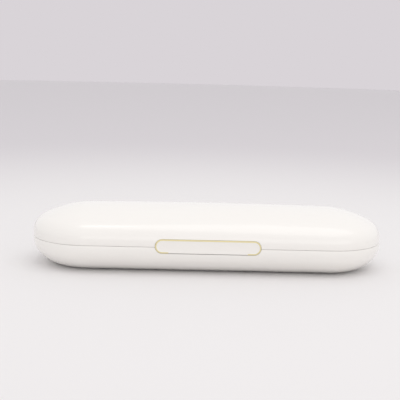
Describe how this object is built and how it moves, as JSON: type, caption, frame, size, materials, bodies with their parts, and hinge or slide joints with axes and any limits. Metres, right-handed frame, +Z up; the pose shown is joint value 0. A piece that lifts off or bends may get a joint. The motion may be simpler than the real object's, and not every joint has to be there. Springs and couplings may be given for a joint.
{
  "type": "toothbrush travel case",
  "caption": "Slim pill-shaped clamshell travel case with rounded ends, a rear hinge, a wide push latch at the front and a lined inside with wells for a toothbrush handle and brush heads.",
  "frame": {"origin": "middle of the whole object's footprint, hinge barrels included, on the surface the case lies on", "axes": "+X along the case, -Y towards the latch, +Y towards the hinge, +Z up"},
  "size_m": [0.235, 0.0796, 0.0415],
  "materials": {
    "shell": "smooth warm white gloss",
    "liner": "satin light grey",
    "inner_plastic": "satin light grey",
    "soft": "matt soft grey",
    "steel": "plain steel",
    "gold": "pale champagne gold, satin"
  },
  "bodies": {
    "base": {"base_shell": "shell", "base_tray": "liner", "tray_screws": "steel", "handle_rest_left": "soft", "handle_rest_right": "soft", "head_rest_left": "soft", "head_rest_right": "soft", "hinge_pin_left": "steel", "hinge_pin_right": "steel", "latch_pin": "steel", "latch_spring": "steel"},
    "lid": {"lid_shell": "shell", "lid_lining": "liner", "lid_pad_left": "soft", "lid_pad_right": "soft", "lid_catch": "steel", "catch_screws": "steel"},
    "latch": {"latch_plate": "shell", "latch_trim": "gold", "latch_lever": "inner_plastic"}
  },
  "joints": [
    {"name": "lid_hinge", "type": "hinge", "parent": "base", "child": "lid", "pos_m": [0, 0.0374, 0.01918], "axis": [-1, 0, 0], "range_deg": [0, 115]},
    {"name": "latch_press", "type": "hinge", "parent": "base", "child": "latch", "pos_m": [0, -0.0383, 0.0164], "axis": [-1, 0, 0], "range_deg": [0, 8], "stiffness_Nm_per_rad": 0.15, "springref_deg": -11.46, "deforming": ["latch_spring"]}
  ]
}
